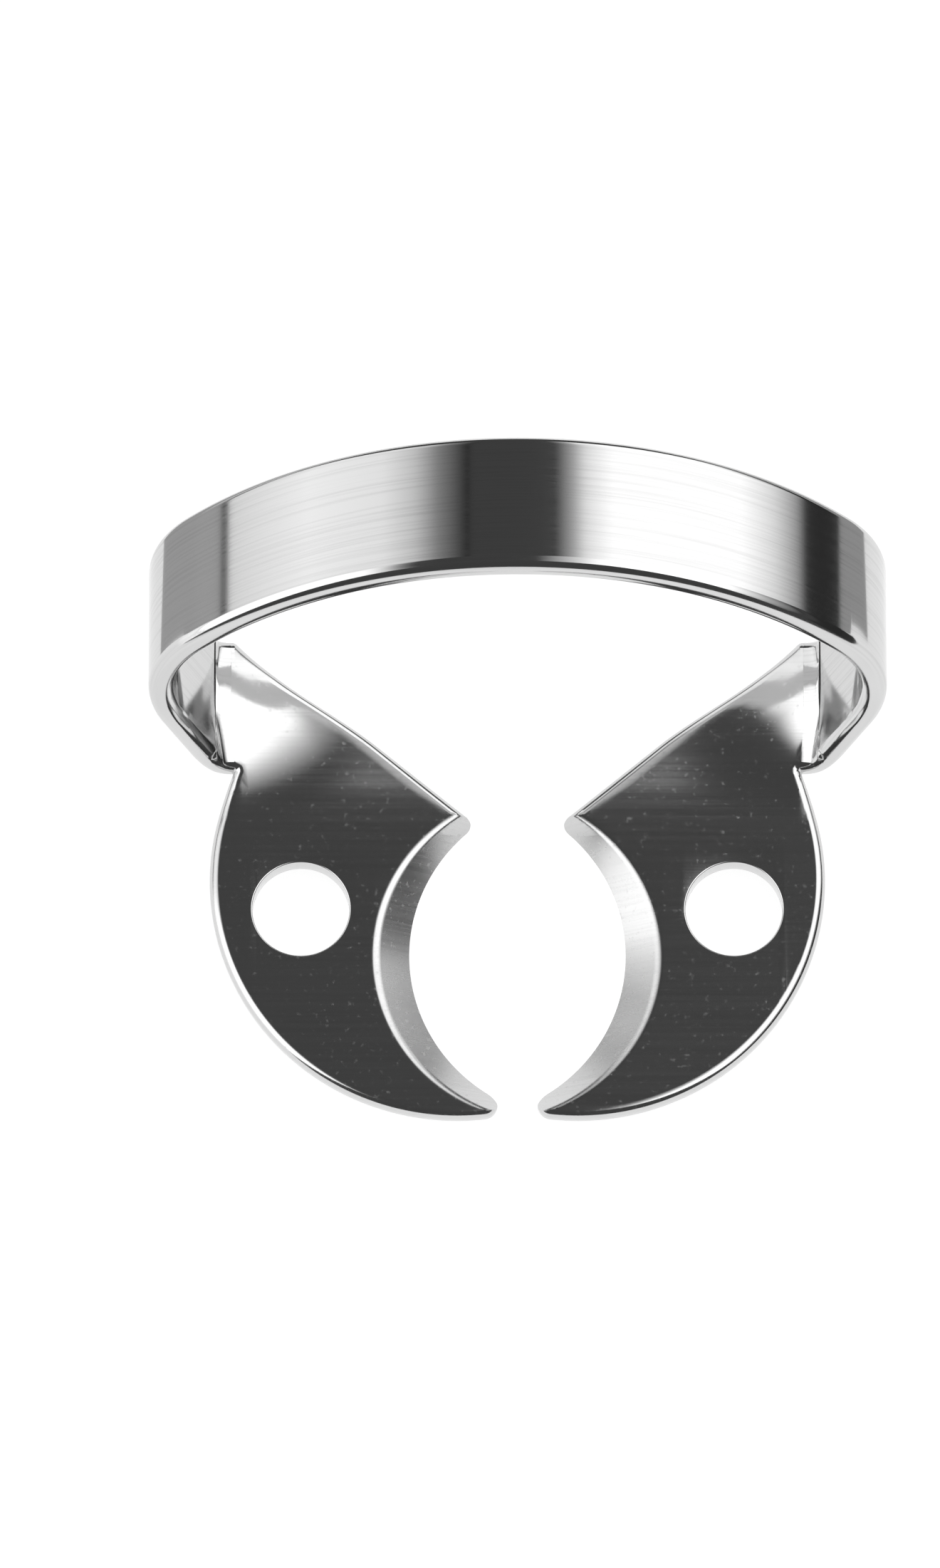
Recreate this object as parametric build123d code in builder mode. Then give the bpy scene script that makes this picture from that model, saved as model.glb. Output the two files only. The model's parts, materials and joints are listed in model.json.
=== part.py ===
from build123d import *
import os
from math import atan2, cos, degrees, hypot, pi, radians, sin, sqrt, tan

# Rubber dam clamp: one piece of spring steel sheet, stamped, bent and tumbled.
# +Z is up, +Y points to the back of the mouth, X runs across the tooth, in millimetres.

# Sheet
sheet_thickness = 0.75
edge_round = 0.3

# Bow: a strip that rises from both feet and arches over the tooth
bow_width = 22.0
bow_height = 12.0
shoulder_height = 4.97
shoulder_radius = 4.0
foot_spacing = 16.81
foot_radius = 0.3
strip_width = 4.05
bow_lean = 15.1
lean_radius = 3.0

# Jaws: two flat plates with a round outer lobe and a hollow that faces the tooth
jaw_reach = 10.8
lobe_radius = 7.42
front_prong_gap = 1.2
rear_prong_gap = 2.6
heel_length = 0.25
heel_round = 0.4
prong_round = 0.4
notch_runout = 0.6

# Tooth hollow: a ground bevel, wider above than below
hollow_radius = 5.1
hollow_depth = 3.24
front_prong_width = 0.63
bevel_width = 0.98
bevel_skew = 0.2

# Forceps holes, set back from the widest part of the lobes
hole_diameter = 2.9
hole_spacing = 12.96
hole_setback = 0.96
hole_chamfer = 0.05

# Bow section, worked out from the sizes above: the crown touches both shoulders,
# and the straight arm touches the shoulder and the bend at the foot
shoulder_x = bow_width / 2 - shoulder_radius
crown_rise = bow_height - shoulder_height
crown_radius = (shoulder_x**2 + crown_rise**2 - shoulder_radius**2) / (2 * (crown_rise - shoulder_radius))
crown_turn = degrees(atan2(shoulder_x, shoulder_height - bow_height + crown_radius))
foot_x = foot_spacing / 2
foot_outer_radius = foot_radius + sheet_thickness
arm_run = foot_x - shoulder_x
arm_drop = foot_outer_radius - shoulder_height
radius_change = shoulder_radius - foot_outer_radius
arm_length = sqrt(hypot(arm_run, arm_drop) ** 2 - radius_change**2)
arm_slope = 180 + degrees(atan2(arm_drop, arm_run) - atan2(radius_change, arm_length))

# Lean of the bow: straight up through the sheet, a bend, then a straight slant
lean = radians(bow_lean)
lean_rise = lean_radius * sin(lean)
lean_shift = lean_radius * (1 - cos(lean))
slant_rise = bow_height - sheet_thickness - lean_rise
bow_offset = lean_shift + slant_rise * tan(lean)

# Jaw outline, measured from the notch where lobe and strip part
lobe_y = lobe_radius - jaw_reach
lobe_x = foot_x - sqrt(lobe_radius**2 - lobe_y**2)
lobe_middle = (lobe_x + lobe_radius * cos(pi / 4), lobe_y - lobe_radius * sin(pi / 4))
front_tip_x = front_prong_gap / 2
front_tip_y = lobe_y - sqrt(lobe_radius**2 - (front_tip_x - lobe_x) ** 2)
hollow_x = hollow_depth - hollow_radius
hollow_y = front_tip_y + front_prong_width + sqrt(hollow_radius**2 - (front_tip_x - hollow_x) ** 2)
rear_tip_x = rear_prong_gap / 2
rear_tip_y = hollow_y + sqrt(hollow_radius**2 - (rear_tip_x - hollow_x) ** 2)
heel_x = foot_x - heel_length
rear_slope = (strip_width - rear_tip_y) / (heel_x - rear_tip_x)
rear_start_y = rear_tip_y - rear_slope * (rear_tip_x - front_tip_x)

# The rounded rim of the lobe runs out along the bow's foot, the further the flatter they meet
notch_angle = atan2(-lobe_y, foot_x - lobe_x)
rim_round = min(edge_round, notch_runout * tan(notch_angle))

# Middle of the whole clamp along Y, between the lobes and the rounded rear edge of the crown
rear_corner_angle = pi / 2 - lean
rear_loss = edge_round / tan(rear_corner_angle / 2) - edge_round
centre_y = (strip_width + bow_offset - rear_loss - jaw_reach) / 2

# Right half of the bow: its section seen from the front, then its lean seen from the side
with BuildPart() as arm:
    with BuildSketch(Plane.XZ):
        with BuildLine():
            crown = JernArc((0, bow_height), (1, 0), crown_radius, -crown_turn)
            shoulder_turn = 180 - arm_slope - crown_turn
            shoulder = JernArc(crown @ 1, crown % 1, shoulder_radius, -shoulder_turn)
            slant = Line(shoulder @ 1, shoulder @ 1 + (shoulder % 1) * arm_length)
            JernArc(slant @ 1, slant % 1, foot_outer_radius, -arm_slope)
            offset(amount=sheet_thickness, side=Side.RIGHT, closed=True)
        make_face()
    extrude(amount=-(strip_width + bow_offset))
    with BuildSketch(Plane.YZ):
        with BuildLine():
            front_wall = Line((0, 0), (0, sheet_thickness))
            front_bend = JernArc(front_wall @ 1, (0, 1), lean_radius, -bow_lean)
            front_slant = Line(front_bend @ 1, (bow_offset, bow_height))
            rear_wall = Line((strip_width, 0), (strip_width, sheet_thickness))
            rear_bend = JernArc(rear_wall @ 1, (0, 1), lean_radius, -bow_lean)
            rear_slant = Line(rear_bend @ 1, (strip_width + bow_offset, bow_height))
            Line(front_wall @ 0, rear_wall @ 0)
            Line(front_slant @ 1, rear_slant @ 1)
        make_face()
    extrude(amount=bow_width, mode=Mode.INTERSECT)
    strip_edges = arm.edges().filter_by_position(Axis.X, foot_x / 2, bow_width)
    for straight in (Axis.X, Axis.Y, Axis.Z):
        strip_edges = strip_edges.filter_by(straight, reverse=True)
    fillet(strip_edges, edge_round)

# Right jaw: outer lobe, front prong and slanted rear edge
with BuildPart() as jaw:
    with BuildSketch():
        with BuildLine():
            ThreePointArc((foot_x, 0), lobe_middle, (front_tip_x, front_tip_y))
            Polyline(
                (front_tip_x, front_tip_y),
                (front_tip_x, rear_start_y),
                (heel_x, strip_width),
                (foot_x, strip_width),
                (foot_x, 0),
            )
        make_face()
    extrude(amount=sheet_thickness)
    upright = jaw.edges().filter_by(Axis.Z)
    fillet(upright.sort_by_distance((heel_x, strip_width, 0))[0], heel_round)
    upright = jaw.edges().filter_by(Axis.Z)
    fillet(upright.sort_by_distance((front_tip_x, front_tip_y, 0))[0], prong_round)
    rim = jaw.edges().filter_by(Axis.Y, reverse=True).filter_by(Axis.Z, reverse=True)
    fillet(rim, rim_round)

    # Tooth hollow, ground at a slant through the jaw
    with BuildSketch():
        with Locations((hollow_x, hollow_y)):
            Circle(hollow_radius)
    with BuildSketch(Plane.XY.offset(sheet_thickness)):
        with Locations((hollow_x + bevel_width, hollow_y - bevel_skew)):
            Circle(hollow_radius)
    loft(ruled=True, mode=Mode.SUBTRACT)

    # Forceps hole
    with Locations((hole_spacing / 2, lobe_y - hole_setback, sheet_thickness)):
        Hole(hole_diameter / 2, depth=sheet_thickness)
    hole_rims = jaw.edges().filter_by(GeomType.CIRCLE).filter_by(lambda e: e.is_closed)
    chamfer(hole_rims, hole_chamfer)

# Whole clamp: both halves, centred over its own footprint
with BuildPart() as clamp:
    with Locations((0, -centre_y, 0)):
        add(arm.part)
        add(jaw.part)
    mirror(about=Plane.YZ)

os.makedirs("parts", exist_ok=True)
clamp.part.label = "clamp"
export_step(clamp.part, "parts/clamp.step")
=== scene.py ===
import json
from math import acos, asin, atan2, cos, pi, radians, sin, sqrt, tan

import bmesh
import bpy
from mathutils import Matrix, Vector


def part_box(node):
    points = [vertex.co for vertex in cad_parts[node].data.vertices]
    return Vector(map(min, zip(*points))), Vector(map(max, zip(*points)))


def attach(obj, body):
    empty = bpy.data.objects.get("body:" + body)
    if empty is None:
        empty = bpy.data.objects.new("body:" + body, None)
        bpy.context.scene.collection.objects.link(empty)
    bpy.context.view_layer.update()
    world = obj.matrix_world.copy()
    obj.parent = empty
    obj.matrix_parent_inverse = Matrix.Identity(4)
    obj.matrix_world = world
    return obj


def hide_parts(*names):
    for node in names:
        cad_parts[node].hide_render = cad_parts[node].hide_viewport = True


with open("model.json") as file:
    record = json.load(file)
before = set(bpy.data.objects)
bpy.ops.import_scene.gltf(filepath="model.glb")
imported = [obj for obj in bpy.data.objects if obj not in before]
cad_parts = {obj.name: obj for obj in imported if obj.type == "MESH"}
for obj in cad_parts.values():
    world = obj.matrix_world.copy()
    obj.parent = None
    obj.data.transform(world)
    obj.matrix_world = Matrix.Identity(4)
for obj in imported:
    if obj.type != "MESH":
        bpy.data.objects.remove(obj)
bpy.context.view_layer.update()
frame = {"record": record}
print("frame loaded")

mm = 0.001  # sizes below are millimetres unless a note says metres, Blender's are metres
scene = bpy.context.scene


def hexToLinear(code):
    channels = [int(code[i:i + 2], 16) / 255 for i in (1, 3, 5)]
    linear = [c / 12.92 if c <= 0.04045 else ((c + 0.055) / 1.055) ** 2.4 for c in channels]
    return (*linear, 1.0)


def addNode(tree, kind, values=None, links=None, **settings):
    node = tree.nodes.new(kind)
    for name, value in settings.items():
        setattr(node, name, value)
    for socket, value in (values or {}).items():
        node.inputs[socket].default_value = value
    for socket, source in (links or {}).items():
        tree.links.new(source, node.inputs[socket])
    return node


def newObject(name, data):
    made = bpy.data.objects.new(name, data)
    scene.collection.objects.link(made)
    return made


def plainMesh(source, name):
    # the evaluated result as a mesh of its own, with no modifier left on it
    graph = bpy.context.evaluated_depsgraph_get()
    made = bpy.data.meshes.new_from_object(source.evaluated_get(graph), depsgraph=graph)
    made.name = name
    bpy.data.objects.remove(source)
    return made


def arcPoints(centre, radius, start, end, count):
    # points along an arc, both ends included, angles in radians
    turns = [start + (end - start) * i / count for i in range(count + 1)]
    return [Vector((centre[0] + radius * cos(a), centre[1] + radius * sin(a))) for a in turns]


# Spring stainless steel, rolled, stamped and tumbled bright: a grey mirror with a little haze,
# drawn along the strip by the rolling and dulled in the jaws by the tumbling
steel = {
    "tone": "#d2d2d2",
    "bowRoughness": 0.1,
    "jawRoughness": 0.135,
    "groundRoughness": 0.26,      # bevel ground with a stone
    "streakSpacing": 0.09,        # mm across the strip, real lines are finer and would not show
    "streakLength": 9.0,          # mm along the strip
    "streakDetail": 3.0,
    "streakBreak": 0.6,           # how far the finer detail breaks the lines up
    "streakRange": (0.45, 0.75),  # noise levels from no line to a full one
    "streakTone": "#c8c8c8",
    "streakDepth": 0.05,          # most that a line adds to the roughness or takes from it
    "jawStreaks": 0.3,            # share of the lines that the tumbling left in the jaws
    "pitSize": 0.16,              # mm, marks left in the jaws by the tumbling stones
    "pitDetail": 2.0,
    "pitRange": (0.62, 0.76),     # noise levels from no pit to a full one
    "pitRoughness": 0.12,
    "noiseMiddle": 0.5,           # mean level of the noise
}


def springSteel():
    material = bpy.data.materials.new("spring_steel_tumbled")
    material.use_nodes = True
    tree = material.node_tree
    shader = tree.nodes["Principled BSDF"]
    shader.inputs["Metallic"].default_value = 1.0

    # rolling lines in the colour, fainter in the jaws
    along = addNode(tree, "ShaderNodeUVMap", uv_map="sheetUv")
    stretch = addNode(
        tree, "ShaderNodeMapping",
        {"Scale": (1 / steel["streakLength"], 1 / steel["streakSpacing"], 1)},
        {"Vector": along.outputs["UV"]})
    streaks = addNode(
        tree, "ShaderNodeTexNoise",
        {"Scale": 1.0, "Detail": steel["streakDetail"], "Roughness": steel["streakBreak"]},
        {"Vector": stretch.outputs["Vector"]}, noise_dimensions="2D")
    jawPart = addNode(tree, "ShaderNodeAttribute", attribute_name="jawPart")
    fainter = addNode(
        tree, "ShaderNodeMapRange", {"To Min": 1.0, "To Max": steel["jawStreaks"]},
        {"Value": jawPart.outputs["Fac"]})
    noLine, fullLine = steel["streakRange"]
    lines = addNode(
        tree, "ShaderNodeMapRange", {"From Min": noLine, "From Max": fullLine},
        {"Value": streaks.outputs["Fac"], "To Max": fainter.outputs["Result"]})
    tone = addNode(  # sockets 6 and 7 are its two colours, 2 is the mixed one
        tree, "ShaderNodeMix", {6: hexToLinear(steel["tone"]), 7: hexToLinear(steel["streakTone"])},
        {"Factor": lines.outputs["Result"]}, data_type="RGBA")
    tree.links.new(tone.outputs[2], shader.inputs["Base Color"])

    # roughness of bow, jaws and ground bevel, changed a little along the rolling lines
    base = addNode(
        tree, "ShaderNodeMapRange",
        {"To Min": steel["bowRoughness"], "To Max": steel["jawRoughness"]},
        {"Value": jawPart.outputs["Fac"]})
    ground = addNode(tree, "ShaderNodeAttribute", attribute_name="groundPart")
    worked = addNode(
        tree, "ShaderNodeMapRange", {"To Max": steel["groundRoughness"]},
        {"Value": ground.outputs["Fac"], "To Min": base.outputs["Result"]})
    spread = addNode(
        tree, "ShaderNodeMath", {1: steel["noiseMiddle"]}, {0: streaks.outputs["Fac"]},
        operation="SUBTRACT")
    rough = addNode(
        tree, "ShaderNodeMath", {1: steel["streakDepth"] / steel["noiseMiddle"]},
        {0: spread.outputs[0], 2: worked.outputs["Result"]}, operation="MULTIPLY_ADD")

    # pits in the jaws
    place = addNode(tree, "ShaderNodeTexCoord")
    grains = addNode(
        tree, "ShaderNodeTexNoise",
        {"Scale": 1 / (steel["pitSize"] * mm), "Detail": steel["pitDetail"]},
        {"Vector": place.outputs["Object"]})
    noPit, fullPit = steel["pitRange"]
    pits = addNode(
        tree, "ShaderNodeMapRange",
        {"From Min": noPit, "From Max": fullPit, "To Max": steel["pitRoughness"]},
        {"Value": grains.outputs["Fac"]})
    pitted = addNode(
        tree, "ShaderNodeMath",
        links={0: pits.outputs["Result"], 1: jawPart.outputs["Fac"], 2: rough.outputs[0]},
        operation="MULTIPLY_ADD")
    tree.links.new(pitted.outputs[0], shader.inputs["Roughness"])
    return material


steelMaterial = springSteel()
print("steel ready")

# Bow: a strip bent from foot to foot over the tooth, leaning back as it rises
bow = {
    "sheet": 0.75,
    "edgeRound": 0.3,
    "roundSteps": 8,
    "crownRadius": 13.6,
    "shoulderRadius": 4.0,
    "footRadius": 0.3,
    "footSpacing": 16.81,
    "footRun": 0.02,      # short level run that squares the strip's ends
    "endRoom": 0.001,     # points this near a strip's end belong to it
    "stripWidth": 4.05,
    "lean": 14.97,        # degrees
    "leanRadius": 3.0,
    "crownSteps": 132,    # over the whole crown, the other steps are for one side
    "shoulderSteps": 54,
    "armSteps": 30,
    "footSteps": 18,
}
boxLow, boxHigh = [Vector(corner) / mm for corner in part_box("clamp")]
bowWidth = boxHigh.x - boxLow.x
bowHeight = boxHigh.z - boxLow.z
sheet = bow["sheet"]
footX = bow["footSpacing"] / 2

# bends of the outer face, seen from the front
radiusChange = bow["crownRadius"] - bow["shoulderRadius"]
crownAngle = asin((bowWidth / 2 - bow["shoulderRadius"]) / radiusChange)
crownCentre = Vector((0, bowHeight - bow["crownRadius"]))
shoulderCentre = crownCentre + radiusChange * Vector((sin(crownAngle), cos(crownAngle)))
footOuter = bow["footRadius"] + sheet
footCentre = Vector((footX + bow["footRun"], footOuter))
armSpan = shoulderCentre - footCentre
armTouch = acos((footOuter - bow["shoulderRadius"]) / armSpan.length)
armSlope = pi / 2 + atan2(armSpan.y, armSpan.x) - armTouch


def bowPath():
    # middle line of the sheet, seen from the front, from the left foot to the right one
    middle = sheet / 2
    crownEnd = pi / 2 - crownAngle
    armFacing = armSlope - pi / 2
    half = arcPoints(
        crownCentre, bow["crownRadius"] - middle, pi / 2, crownEnd, bow["crownSteps"] // 2)
    half += arcPoints(
        shoulderCentre, bow["shoulderRadius"] - middle, crownEnd, armFacing, bow["shoulderSteps"])[1:]
    armTop = half[-1]
    armEnd = footCentre + (footOuter - middle) * Vector((cos(armFacing), sin(armFacing)))
    half += [armTop.lerp(armEnd, i / bow["armSteps"]) for i in range(1, bow["armSteps"])]
    half += arcPoints(footCentre, footOuter - middle, armFacing, -pi / 2, bow["footSteps"])
    half.append(Vector((footX, middle)))
    return [Vector((-p.x, p.y)) for p in reversed(half[1:])] + half


def stripTree():
    tree = bpy.data.node_groups.new("bentStrip", "GeometryNodeTree")
    sockets = {}
    for name, kind in (("Path", "Geometry"), ("Strip Width", "Float"), ("Sheet", "Float"),
                       ("Edge Round", "Float"), ("Round Steps", "Int"), ("Lean Radius", "Float"),
                       ("Lean Rise", "Float"), ("Lean Slope", "Float"), ("Finish", "Material")):
        sockets[name] = tree.interface.new_socket(
            name, in_out="INPUT", socket_type="NodeSocket" + kind)
    tree.interface.new_socket("Strip", in_out="OUTPUT", socket_type="NodeSocketGeometry")
    given = addNode(tree, "NodeGroupInput").outputs

    # rounded section swept along the path, with its length kept for the rolling lines
    section = addNode(
        tree, "GeometryNodeCurvePrimitiveQuadrilateral",
        links={"Width": given["Strip Width"], "Height": given["Sheet"]})
    rounded = addNode(
        tree, "GeometryNodeFilletCurve",
        links={"Curve": section.outputs["Curve"], "Count": given["Round Steps"],
               "Radius": given["Edge Round"]}, mode="POLY")
    length = addNode(tree, "GeometryNodeSplineParameter")
    keep = addNode(tree, "GeometryNodeCaptureAttribute", links={"Geometry": given["Path"]})
    keep.capture_items.new("FLOAT", "Along")
    tree.links.new(length.outputs["Length"], keep.inputs["Along"])
    swept = addNode(
        tree, "GeometryNodeCurveToMesh",
        links={"Curve": keep.outputs["Geometry"], "Profile Curve": rounded.outputs["Curve"]})
    place = addNode(tree, "GeometryNodeInputPosition")
    axes = addNode(tree, "ShaderNodeSeparateXYZ", links={"Vector": place.outputs["Position"]})
    flat = addNode(
        tree, "ShaderNodeCombineXYZ",
        links={"X": keep.outputs["Along"], "Y": axes.outputs["Y"]})
    mapped = addNode(
        tree, "GeometryNodeStoreNamedAttribute", {"Name": "sheetUv"},
        {"Geometry": swept.outputs["Mesh"], "Value": flat.outputs["Vector"]},
        data_type="FLOAT2", domain="CORNER")

    # lean: none through the foot, then a bend, then a straight slant
    found = {"height": axes.outputs["Z"]}
    for name, operation, first, second in (
            ("above", "SUBTRACT", "height", "Sheet"),
            ("rise", "MAXIMUM", "above", 0.0),
            ("bent", "MINIMUM", "rise", "Lean Rise"),
            ("bentSquare", "POWER", "bent", 2.0),
            ("radiusSquare", "POWER", "Lean Radius", 2.0),
            ("levelSquare", "SUBTRACT", "radiusSquare", "bentSquare"),
            ("level", "SQRT", "levelSquare", 0.0),
            ("bendShift", "SUBTRACT", "Lean Radius", "level"),
            ("straight", "SUBTRACT", "rise", "bent"),
            ("slantShift", "MULTIPLY", "straight", "Lean Slope"),
            ("shift", "ADD", "bendShift", "slantShift")):
        step = addNode(tree, "ShaderNodeMath", operation=operation)
        for socket, part in zip(step.inputs, (first, second)):
            if isinstance(part, float):
                socket.default_value = part
            else:
                tree.links.new(found[part] if part in found else given[part], socket)
        found[name] = step.outputs[0]
    shift = addNode(tree, "ShaderNodeCombineXYZ", links={"Y": found["shift"]})
    leaned = addNode(
        tree, "GeometryNodeSetPosition",
        links={"Geometry": mapped.outputs["Geometry"], "Offset": shift.outputs["Vector"]})
    real = addNode(
        tree, "GeometryNodeRealizeInstances", links={"Geometry": leaned.outputs["Geometry"]})
    finished = addNode(
        tree, "GeometryNodeSetMaterial",
        links={"Geometry": real.outputs["Geometry"], "Material": given["Finish"]})
    addNode(tree, "NodeGroupOutput", links={"Strip": finished.outputs["Geometry"]})
    return tree, sockets


def bowStrip():
    points = bowPath()
    curve = bpy.data.curves.new("bowPath", "CURVE")
    curve.dimensions = "3D"
    curve.twist_mode = "MINIMUM"
    line = curve.splines.new("POLY")
    line.points.add(len(points) - 1)
    for spot, p in zip(line.points, points):
        spot.co = (p.x, bow["stripWidth"] / 2, p.y, 1)
    holder = newObject("bowPath", curve)
    tree, sockets = stripTree()
    lean = radians(bow["lean"])
    inputs = {
        "Strip Width": bow["stripWidth"],
        "Sheet": sheet,
        "Edge Round": bow["edgeRound"],
        "Round Steps": bow["roundSteps"],
        "Lean Radius": bow["leanRadius"],
        "Lean Rise": bow["leanRadius"] * sin(lean),
        "Lean Slope": tan(lean),
        "Finish": steelMaterial,
    }
    modifier = holder.modifiers.new("bentStrip", "NODES")
    modifier.node_group = tree
    for name, value in inputs.items():
        modifier[sockets[name].identifier] = value
    return plainMesh(holder, "bowStrip")


bowMesh = bowStrip()
print("bow swept:", len(bowMesh.polygons), "faces")

# Jaws: flat plates with a round lobe, two prongs, a ground tooth hollow and a forceps hole.
# Until the clamp is joined, Y counts from the notch between lobe and strip
jaw = {
    "reach": 10.8,
    "lobeRadius": 7.42,
    "frontProngGap": 1.2,
    "rearProngGap": 2.6,
    "heelLength": 0.25,
    "heelRound": 0.4,
    "prongRound": 0.4,
    "hollowRadius": 5.1,
    "hollowDepth": 3.24,
    "hollowSetback": 5.6,
    "bevelWidth": 0.98,
    "bevelSkew": 0.2,
    "bevelRound": 0.5,      # radius where the ground bevel meets the top of the jaw
    "holeEdgeRound": 0.05,
    "lobeSteps": 150,
    "cornerSteps": 12,
    "hollowSteps": 360,
    "holeSteps": 96,
    "roundSteps": 6,
    "weld": 0.0001,         # points nearer than this become one
    "cutterRoom": 0.02,     # how far a cutter stands out of the sheet
    "hollowBelow": 0.5,     # the same under the sheet for the slanted hollow's cutter
    "hollowFlare": 0.3,     # how much wider a cutter ends, outside the sheet
    "holeFlare": 0.2,
}
notchY = boxLow.y + jaw["reach"]
hollowX = jaw["hollowDepth"] - jaw["hollowRadius"]
rearTip = Vector((jaw["rearProngGap"] / 2, 0))
rearTip.y = sqrt(jaw["hollowRadius"] ** 2 - (rearTip.x - hollowX) ** 2) - jaw["hollowSetback"]
heel = Vector((footX - jaw["heelLength"], bow["stripWidth"]))
rearTurn = atan2(heel.y - rearTip.y, heel.x - rearTip.x)  # slant of the plate's rear edge
rearFacing = Vector((-sin(rearTurn), cos(rearTurn)))


def rimProfile():
    # (inset, height) up the front edge of the bow's end: the jaw's rim meets it point for point
    ends = [v.co for v in bowMesh.vertices if abs(v.co.x - footX) < bow["endRoom"]]
    front = [(p.y, p.z) for p in ends if p.y < bow["stripWidth"] / 2]
    return sorted(front, key=lambda spot: spot[1])


def cornerArc(corner, before, after, radius):
    # stations round a corner that turns from one outward facing to the next
    turn = (after - before) % (2 * pi)
    middle = before + turn / 2
    centre = corner - Vector((cos(middle), sin(middle))) * radius / cos(turn / 2)
    spots = arcPoints(centre, radius, before, before + turn, jaw["cornerSteps"])
    return [(spot, (centre - spot) / radius) for spot in spots]


def jawOutline():
    # stations round the right jaw, each a point and the way into the plate, clockwise from the notch
    lobeRadius = jaw["lobeRadius"]
    lobeY = lobeRadius - jaw["reach"]
    lobeX = footX - sqrt(lobeRadius ** 2 - lobeY ** 2)
    lobe = Vector((lobeX, lobeY))
    tipX = jaw["frontProngGap"] / 2
    start = atan2(-lobeY, footX - lobeX)

    # tip corner: a circle inside the lobe that also touches the line across the prong's end
    tipRound = jaw["prongRound"]
    tipCentre = Vector((tipX + tipRound, 0))
    tipCentre.y = lobeY - sqrt((lobeRadius - tipRound) ** 2 - (tipCentre.x - lobeX) ** 2)
    tipFacing = atan2(tipCentre.y - lobeY, tipCentre.x - lobeX)

    notch = Vector((footX, 0))
    fanSteps = jaw["cornerSteps"]
    fan = [pi / 2 + (start + pi / 2) * i / fanSteps for i in range(fanSteps)]
    stations = [(notch, Vector((cos(a), sin(a)))) for a in fan]
    for spot in arcPoints(lobe, lobeRadius, start, tipFacing, jaw["lobeSteps"]):
        stations.append((spot, (lobe - spot) / lobeRadius))
    for spot in arcPoints(tipCentre, tipRound, tipFacing, -pi, jaw["cornerSteps"])[1:]:
        stations.append((spot, (tipCentre - spot) / tipRound))
    inner = Vector((tipX, rearTip.y - tan(rearTurn) * (rearTip.x - tipX)))
    stations += reversed(cornerArc(inner, rearTurn + pi / 2, pi, tipRound))
    stations += reversed(cornerArc(heel, pi / 2, rearTurn + pi / 2, jaw["heelRound"]))
    stations.append((Vector((footX, bow["stripWidth"])), Vector((0, -1))))
    return stations


def jawBlank():
    profile = rimProfile()
    bm = bmesh.new()
    rings = []
    for spot, inward in jawOutline():
        rings.append([bm.verts.new((*(spot + inward * inset), z)) for inset, z in profile])
    for near, far in zip(rings, rings[1:]):
        for i in range(len(profile) - 1):
            bm.faces.new((near[i], near[i + 1], far[i + 1], far[i]))
    bm.faces.new([ring[-1] for ring in rings])
    bm.faces.new([ring[0] for ring in reversed(rings)])
    bm.faces.new(rings[0][::-1] + rings[-1])  # closes the end that the bow is joined to
    bmesh.ops.remove_doubles(bm, verts=bm.verts, dist=jaw["weld"])
    bmesh.ops.dissolve_degenerate(bm, edges=bm.edges, dist=jaw["weld"])
    bmesh.ops.recalc_face_normals(bm, faces=bm.faces)
    mesh = bpy.data.meshes.new("rightJaw")
    bm.to_mesh(mesh)
    bm.free()
    return newObject("rightJaw", mesh)


def cutter(name, rings, steps):
    # closed stack of circles, each (centre x, centre y, radius, height)
    bm = bmesh.new()
    loops = []
    for x, y, radius, z in rings:
        circle = arcPoints((x, y), radius, 0, 2 * pi, steps)[:-1]
        loops.append([bm.verts.new((*p, z)) for p in circle])
    for low, high in zip(loops, loops[1:]):
        for i in range(steps):
            j = (i + 1) % steps
            bm.faces.new((low[i], low[j], high[j], high[i]))
    bm.faces.new(loops[0][::-1])
    bm.faces.new(loops[-1])
    bmesh.ops.recalc_face_normals(bm, faces=bm.faces)
    mesh = bpy.data.meshes.new(name)
    bm.to_mesh(mesh)
    bm.free()
    return newObject(name, mesh)


def hollowCutter():
    x, y, radius = hollowX, -jaw["hollowSetback"], jaw["hollowRadius"]
    lean = jaw["bevelWidth"] / sheet
    skew = jaw["bevelSkew"] / sheet
    below = jaw["hollowBelow"]
    rings = [(x - lean * below, y + skew * below, radius, -below)]
    wallTilt = atan2(sheet, jaw["bevelWidth"])  # from level
    edgeRound = jaw["bevelRound"]
    edgeReach = edgeRound * tan(wallTilt / 2)   # from the sharp edge to where the round starts
    steps = jaw["roundSteps"]
    for i in range(steps + 1):
        a = wallTilt * (1 - i / steps)          # tilt of the round here
        drop = edgeRound * (1 - cos(a))
        past = edgeReach - edgeRound * sin(a) + lean * drop  # past the slanted wall's own line
        z = sheet - drop
        rings.append((x + lean * z, y - skew * z, radius + past, z))
    lastX, lastY, lastRadius = rings[-1][:3]
    rings.append((lastX, lastY, lastRadius + jaw["hollowFlare"], sheet + jaw["cutterRoom"]))
    return cutter("hollowCutter", rings, jaw["hollowSteps"])


def holeCutter():
    mount = next(m for m in frame["record"]["mounts"] if m["name"] == "right_forceps_hole")
    place = Vector(mount["pos_m"]) / mm
    x, y = place.x, place.y - notchY
    radius = mount["dims"]["r_mm"]
    edgeRound = jaw["holeEdgeRound"]
    mouth = radius + edgeRound + jaw["holeFlare"]
    steps = jaw["roundSteps"]
    turns = [pi / 2 * i / steps for i in range(steps + 1)]
    rings = [(x, y, mouth, -jaw["cutterRoom"])]
    for a in turns:
        rings.append((x, y, radius + edgeRound * (1 - sin(a)), edgeRound * (1 - cos(a))))
    for a in turns:
        rings.append((x, y, radius + edgeRound * (1 - cos(a)), sheet - edgeRound * (1 - sin(a))))
    rings.append((x, y, mouth, sheet + jaw["cutterRoom"]))
    return cutter("holeCutter", rings, jaw["holeSteps"])


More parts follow.
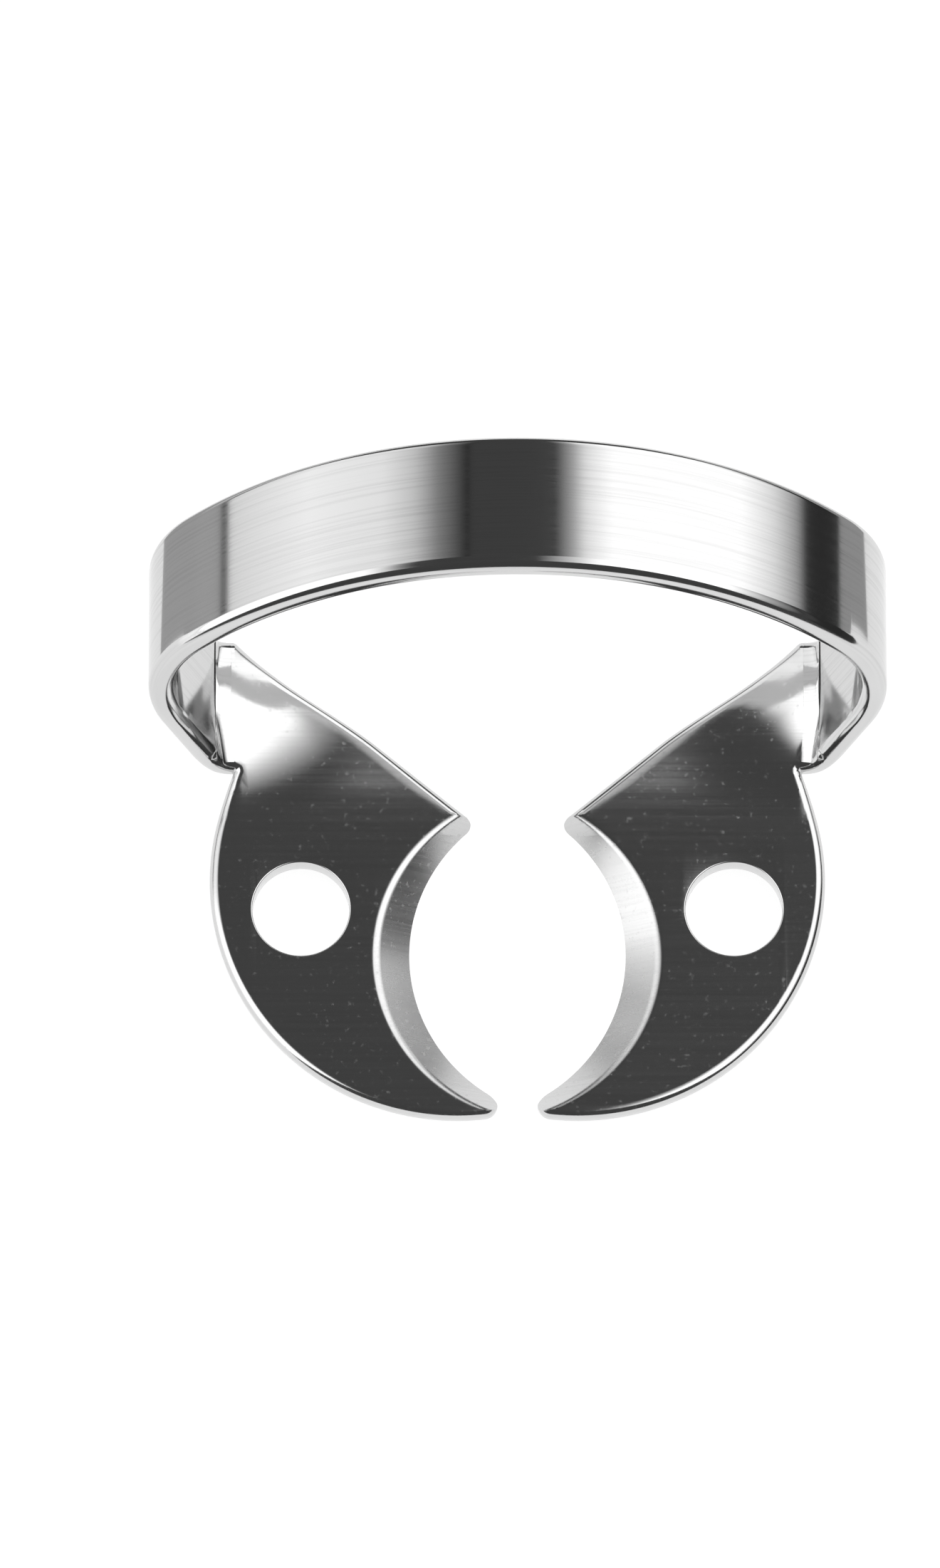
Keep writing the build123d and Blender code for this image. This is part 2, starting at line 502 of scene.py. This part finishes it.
def rightJaw():
    blank = jawBlank()
    tools = [hollowCutter(), holeCutter()]
    for tool in tools:
        cut = blank.modifiers.new(tool.name, "BOOLEAN")
        cut.operation = "DIFFERENCE"
        cut.solver = "EXACT"
        cut.object = tool
    made = plainMesh(blank, "rightJaw")
    for tool in tools:
        bpy.data.objects.remove(tool)
    return made


jawMesh = rightJaw()
print("jaw cut:", len(jawMesh.polygons), "faces")

# Coves: the sharp foot of each arm opened into a wide bend, the back of each plate curled up
# a little towards the heel and rolled off along its rear edge
cove = {
    "run": 4.4,              # plate taken up by the bend
    "rise": 1.2,             # arm taken up by it
    "ease": (0.5, 0.3),      # how far it stays flat from either end, share of the way to the corner
    "front": -1.6,           # Y where it has died away into the lobe, beside the foot
    "back": 2.2,             # Y from where it is full
    "skew": 0.2,             # both lie further back towards the middle, by this share of the way
    "curlStart": -0.5,       # Y from where the plate curls up
    "curlBend": 0.055,       # turn of that curl, radians per mm
    "curlTop": 5.0,          # height up the arm where the curl has died away
    "curlDraw": 0.287,       # how far curl and bend draw the sheet forward, share of their lift
    "rollWidth": 1.4,        # rolled-off strip inside the rear edge, near the heel
    "rollDrop": 0.34,
    "rollSpan": (5.6, 8.2),  # X over which it grows to the full drop
    "rollTop": 1.5,          # height up the arm where it has died away
    "grid": 0.2,             # spacing of the finer faces
    "gridWeld": 0.0005,      # a cut runs through points nearer than this
}

# the sheet's middle line at the sharp foot, seen from the front, and the wide bend in its place
footMiddle = footOuter - sheet / 2
footCorner = footMiddle * tan(armSlope / 2)
upArm = Vector((cos(armSlope), sin(armSlope)))
acrossArm = Vector((-sin(armSlope), cos(armSlope)))
armFoot = footCentre + footMiddle * Vector((sin(armSlope), -cos(armSlope)))
bendCorner = Vector((footX + footCorner, sheet / 2))
bendFirst = bendCorner - Vector((cove["run"], 0))
bendLast = bendCorner + upArm * cove["rise"]
bendSecond = bendFirst.lerp(bendCorner, cove["ease"][0])
bendThird = bendLast.lerp(bendCorner, cove["ease"][1])
bendStart = footCorner - cove["run"]
bendEnd = footMiddle * armSlope + cove["rise"] - footCorner


def smoothStep(low, high, value):
    t = min(max((value - low) / (high - low), 0), 1)
    return t * t * (3 - 2 * t)


def sheetPlace(p):
    # where a point lies along the sheet, counted from the foot, and across its thickness
    if p.x <= footX:
        return p.x - footX, p.y - sheet / 2
    around = p - footCentre
    turn = atan2(around.x, -around.y)
    if turn <= armSlope and around.length < 2 * footOuter:  # further out it is on the bow
        return footMiddle * turn, footMiddle - around.length
    beyond = p - armFoot
    return footMiddle * armSlope + beyond.dot(upArm), beyond.dot(acrossArm)


def coveShift(spot):
    p = Vector((abs(spot.x), spot.z))
    along, across = sheetPlace(p)
    if not bendStart < along < bendEnd:
        return Vector((0, 0, 0))
    t = (along - bendStart) / (bendEnd - bendStart)
    s = 1 - t
    place = (s ** 3 * bendFirst + 3 * s ** 2 * t * bendSecond
             + 3 * s * t * t * bendThird + t ** 3 * bendLast)
    onward = (s ** 2 * (bendSecond - bendFirst) + 2 * s * t * (bendThird - bendSecond)
              + t * t * (bendLast - bendThird))
    onward.normalize()
    bent = place + Vector((-onward.y, onward.x)) * across
    skewed = max(footX - p.x, 0) * cove["skew"]
    moved = (bent - p) * smoothStep(cove["front"], cove["back"], spot.y - skewed)
    return Vector((moved.x if spot.x > 0 else -moved.x, 0, moved.y))


def curlLift(spot):
    back = max(spot.y - cove["curlStart"], 0)
    lift = cove["curlBend"] / 2 * back ** 2 * (1 - smoothStep(sheet, cove["curlTop"], spot.z))
    inside = min(rearFacing.dot(heel - Vector((abs(spot.x), spot.y))), heel.y - spot.y)
    rolled = max(1 - max(inside, 0) / cove["rollWidth"], 0) ** 2
    drop = cove["rollDrop"] * smoothStep(*cove["rollSpan"], abs(spot.x)) * rolled
    return lift - drop * (1 - smoothStep(sheet, cove["rollTop"], spot.z))


def formCoves(bm):
    # finer faces, cut along X and along the rear edges, then moved to their place in the cove
    step = cove["grid"]
    depth = rearFacing.dot(heel - Vector((footX, cove["front"])))
    for side in (1, -1):
        cuts = []
        for i in range(int((footX - rearTip.x) / step) + 1):
            cuts.append(((side * (footX - i * step), 0, 0), (1, 0, 0)))
        for i in range(int(depth / step) + 1):
            spot = heel - rearFacing * (i * step + bow["edgeRound"])
            cuts.append(((side * spot.x, spot.y, 0), (side * rearFacing.x, rearFacing.y, 0)))
        for place, facing in cuts:
            near = [f for f in bm.faces
                    if min(side * v.co.x for v in f.verts) > 0
                    and max(v.co.y for v in f.verts) > cove["front"] - step
                    and min(v.co.z for v in f.verts) < cove["curlTop"]]
            edges = list(dict.fromkeys(e for f in near for e in f.edges))
            verts = list(dict.fromkeys(v for f in near for v in f.verts))
            bmesh.ops.bisect_plane(
                bm, geom=verts + edges + near, dist=cove["gridWeld"], plane_co=place, plane_no=facing)
    for v in bm.verts:
        if v.co.z < cove["curlTop"]:
            shift = coveShift(v.co)
            shift.z += curlLift(v.co)
            shift.y = -shift.z * cove["curlDraw"]
            v.co += shift
    print("coves formed:", len(bm.faces), "faces")


# Whole clamp: bow and jaws joined, formed and shaded
join = {
    "weld": 0.002,        # points nearer than this become one
    "sliverSides": 4,     # the merge can lose a face of up to so many sides beside a notch
    "groundRoom": 0.06,   # faces this near the slanted wall of the hollow are ground
    "sharpAngle": 32.0,   # degrees
    "areaWeight": 100,    # flat faces keep their flat shading beside narrow rounds
}


def isGround(spot):
    slant = spot.z / sheet
    x = hollowX + jaw["bevelWidth"] * slant
    y = -jaw["hollowSetback"] - jaw["bevelSkew"] * slant
    return abs((spot.xy - Vector((x, y))).length - jaw["hollowRadius"]) < join["groundRoom"]


def joinClamp():
    bm = bmesh.new()
    bm.from_mesh(bowMesh)
    flat = bm.loops.layers.uv.get("sheetUv")
    jawPart = bm.verts.layers.float.new("jawPart")
    ground = bm.faces.layers.float.new("groundPart")

    # length along the strip counts from the middle of the bow, and runs on through the jaws
    halfStrip = max(loop[flat].uv.x for face in bm.faces for loop in face.loops) / 2
    for face in bm.faces:
        for loop in face.loops:
            loop[flat].uv.x -= halfStrip
    for side in (1, -1):
        half = bmesh.new()
        half.from_mesh(jawMesh)
        seam = [f for f in half.faces if all(abs(v.co.x - footX) < bow["endRoom"] for v in f.verts)]
        bmesh.ops.delete(half, geom=seam, context="FACES_ONLY")
        corners = {v: bm.verts.new((side * v.co.x, v.co.y, v.co.z)) for v in half.verts}
        for v in corners.values():
            v[jawPart] = 1.0
        for face in half.faces:
            verts = [corners[v] for v in face.verts]
            made = bm.faces.new(verts if side > 0 else verts[::-1])
            made[ground] = float(isGround(face.calc_center_median()))
            for loop in made.loops:
                spot = loop.vert.co
                loop[flat].uv = (side * (halfStrip + footX - abs(spot.x)), spot.y)
        half.free()
    bmesh.ops.remove_doubles(bm, verts=bm.verts, dist=join["weld"])
    bmesh.ops.holes_fill(
        bm, edges=[e for e in bm.edges if e.is_boundary], sides=join["sliverSides"])
    formCoves(bm)
    bmesh.ops.recalc_face_normals(bm, faces=bm.faces)
    print("edges not shared by two faces:", sum(len(e.link_faces) != 2 for e in bm.edges))
    for face in bm.faces:
        face.smooth = True
    bm.transform(Matrix.Scale(mm, 4) @ Matrix.Translation((0, notchY, 0)))
    mesh = bpy.data.meshes.new("clampSteel")
    bm.to_mesh(mesh)
    bm.free()
    mesh.materials.append(steelMaterial)
    return mesh


def clampPiece():
    mesh = joinClamp()
    mesh.set_sharp_from_angle(angle=radians(join["sharpAngle"]))
    holder = newObject("clampHolder", mesh)
    weighted = holder.modifiers.new("flatFaces", "WEIGHTED_NORMAL")
    weighted.mode = "FACE_AREA"
    weighted.weight = join["areaWeight"]
    weighted.keep_sharp = True
    return newObject("clamp_steel", plainMesh(holder, "clamp_steel"))


clamp = clampPiece()
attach(clamp, "root")
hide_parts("clamp")
print("clamp joined:", len(clamp.data.polygons), "faces")

# Stage: a white floor in a dim room, with a soft box over each side, a grey wall low on the left,
# a dark flag low on the right and a small grey card on the floor at each side of the bow
stage = {
    "floorSize": 2.0,    # m, as the other lengths here
    "floorTone": "#ffffff",
    "floorGlow": 0.84,   # share of white that the floor shows whatever falls on it
    "floorPaint": 0.32,  # share that takes light and shadow
    "roomTone": "#ffffff",
    "roomLevel": 0.066,  # as it lights the clamp
    "backLevel": 1.0,    # as the camera sees it
    "lightReach": 0.4,   # from the clamp
    "lightRows": ((-0.3, "front"), (0.06, "front"), (0.115, "back"), (0.5, "back")),  # along Y
    # (degrees from straight above, level) along each light, in front of the clamp and behind it
    "rightLight": {
        "front": ((4, 0), (9, 0.45), (14, 0.95), (18, 1.5), (23, 1.85), (48, 1.9), (60, 0.6), (70, 0)),
        "back": ((9, 0), (14, 0.5), (17, 1.1), (24, 1.6), (58, 1.6), (68, 1.05), (75, 0.45), (78, 0)),
    },
    "leftLight": {
        "front": ((23, 0), (26, 0.2), (28, 0.42), (31, 1.0), (36, 1.7), (80, 1.7)),
        "back": ((12, 0), (20, 0.3), (26, 0.8), (34, 1.15), (54, 1.3), (78, 0.98)),
    },
    "leftWall": {
        "front": ((80.5, 1.4), (91, 1.2)),
        "back": ((80.5, 0.46), (90, 0.46)),
    },
    "rightFlag": {
        "front": ((74, 0.03), (89.5, 0.03)),
        "back": ((78, 0.03), (89.5, 0.03)),
    },
    # span is along Y
    "leftCard": {"distance": 0.0195, "height": 0.008, "span": (0.0063, 0.1), "level": 0.45},
    "rightCard": {"distance": 0.026, "height": 0.008, "span": (0.0085, 0.1), "level": 0.38},
}


def bareMaterial(name):
    # a material whose tree holds nothing but its output
    material = bpy.data.materials.new(name)
    material.use_nodes = True
    nodes = material.node_tree.nodes
    nodes.remove(nodes["Principled BSDF"])
    return material


def paleFloor():
    material = bareMaterial("pale_floor")
    tree = material.node_tree
    colour = hexToLinear(stage["floorTone"])
    rays = addNode(tree, "ShaderNodeLightPath")
    seen = addNode(
        tree, "ShaderNodeMath",
        links={0: rays.outputs["Is Camera Ray"], 1: rays.outputs["Is Glossy Ray"]},
        operation="MAXIMUM")
    seenAny = addNode(
        tree, "ShaderNodeMath",
        links={0: seen.outputs[0], 1: rays.outputs["Is Transmission Ray"]}, operation="MAXIMUM")
    paint = addNode(tree, "ShaderNodeBsdfDiffuse", {"Color": colour})
    dimmed = addNode(
        tree, "ShaderNodeMixShader", {0: 1 - stage["floorPaint"]}, {1: paint.outputs["BSDF"]})
    glow = addNode(tree, "ShaderNodeEmission", {"Color": colour, "Strength": stage["floorGlow"]})
    shown = addNode(
        tree, "ShaderNodeAddShader", links={0: dimmed.outputs[0], 1: glow.outputs["Emission"]})
    mixed = addNode(
        tree, "ShaderNodeMixShader",
        links={0: seenAny.outputs[0], 1: paint.outputs["BSDF"], 2: shown.outputs[0]})
    tree.links.new(mixed.outputs[0], tree.nodes["Material Output"].inputs["Surface"])
    half = stage["floorSize"] / 2
    mesh = bpy.data.meshes.new("floor")
    mesh.from_pydata(
        [(-half, -half, 0), (half, -half, 0), (half, half, 0), (-half, half, 0)], [], [(0, 1, 2, 3)])
    mesh.materials.append(material)
    floor = newObject("floor", mesh)


def glowCard(name, corners, levels, wide):
    # rows of so many corners, each with its own level, unseen by the camera and without a shadow
    material = bareMaterial(name)
    tree = material.node_tree
    level = addNode(tree, "ShaderNodeAttribute", attribute_name="level")
    glow = addNode(tree, "ShaderNodeEmission", links={"Strength": level.outputs["Fac"]})
    tree.links.new(glow.outputs[0], tree.nodes["Material Output"].inputs["Surface"])
    faces = [(wide * i + j, wide * i + j + 1, wide * (i + 1) + j + 1, wide * (i + 1) + j)
             for i in range(len(corners) // wide - 1) for j in range(wide - 1)]
    mesh = bpy.data.meshes.new(name)
    mesh.from_pydata(corners, [], faces)
    mesh.attributes.new("level", "FLOAT", "POINT").data.foreach_set("value", levels)
    mesh.materials.append(material)
    card = newObject(name, mesh)
    card.visible_camera = False
    card.visible_shadow = False


def softLight(name, side, profile):
    # bent over the clamp, brighter or dimmer along its arc and towards the front
    reach = stage["lightReach"]
    corners, levels = [], []
    for y, part in stage["lightRows"]:
        for turn, strength in profile[part]:
            a = radians(turn)
            corners.append((side * reach * sin(a), y, reach * cos(a)))
            levels.append(strength)
    glowCard(name, corners, levels, len(profile["front"]))


def sideCard(name, side, place):
    # low and grey, standing on the floor beside the bow
    x = side * place["distance"]
    heights = (0, place["height"])
    corners = [(x, y, z) for y in place["span"] for z in heights]
    glowCard(name, corners, [place["level"]] * len(corners), len(heights))


def dimRoom():
    world = bpy.data.worlds.new("dimRoom")
    world.use_nodes = True
    tree = world.node_tree
    colour = hexToLinear(stage["roomTone"])
    room = tree.nodes["Background"]
    room.inputs["Color"].default_value = colour
    room.inputs["Strength"].default_value = stage["roomLevel"]
    back = addNode(
        tree, "ShaderNodeBackground", {"Color": colour, "Strength": stage["backLevel"]})
    rays = addNode(tree, "ShaderNodeLightPath")
    mixed = addNode(
        tree, "ShaderNodeMixShader",
        links={0: rays.outputs["Is Camera Ray"], 1: room.outputs[0], 2: back.outputs[0]})
    tree.links.new(mixed.outputs[0], tree.nodes["World Output"].inputs["Surface"])
    scene.world = world


paleFloor()
softLight("softLightRight", 1, stage["rightLight"])
softLight("softLightLeft", -1, stage["leftLight"])
softLight("greyWallLeft", -1, stage["leftWall"])
softLight("darkFlagRight", 1, stage["rightFlag"])
sideCard("greyCardLeft", -1, stage["leftCard"])
sideCard("greyCardRight", 1, stage["rightCard"])
dimRoom()
scene.view_settings.view_transform = "Standard"
print("stage lit")

# Camera: high in front, through a long lens
view = {
    "elevation": 73.2,           # degrees
    "distance": 500.0,
    "frameHeight": 47.1,         # seen from top to bottom at the aim
    "sensor": 36.0,
    "aim": (-1.42, 1.742, 0.0),
    "clip": (0.01, 10.0),        # m
}
cameraData = bpy.data.cameras.new("camera")
cameraData.sensor_width = view["sensor"]
cameraData.lens = view["sensor"] * view["distance"] / view["frameHeight"]
cameraData.clip_start, cameraData.clip_end = view["clip"]
camera = newObject("camera", cameraData)
tilt = radians(view["elevation"])
towards = Vector((0, -cos(tilt), sin(tilt)))
camera.location = (Vector(view["aim"]) + towards * view["distance"]) * mm
camera.rotation_euler = (pi / 2 - tilt, 0, 0)
scene.camera = camera
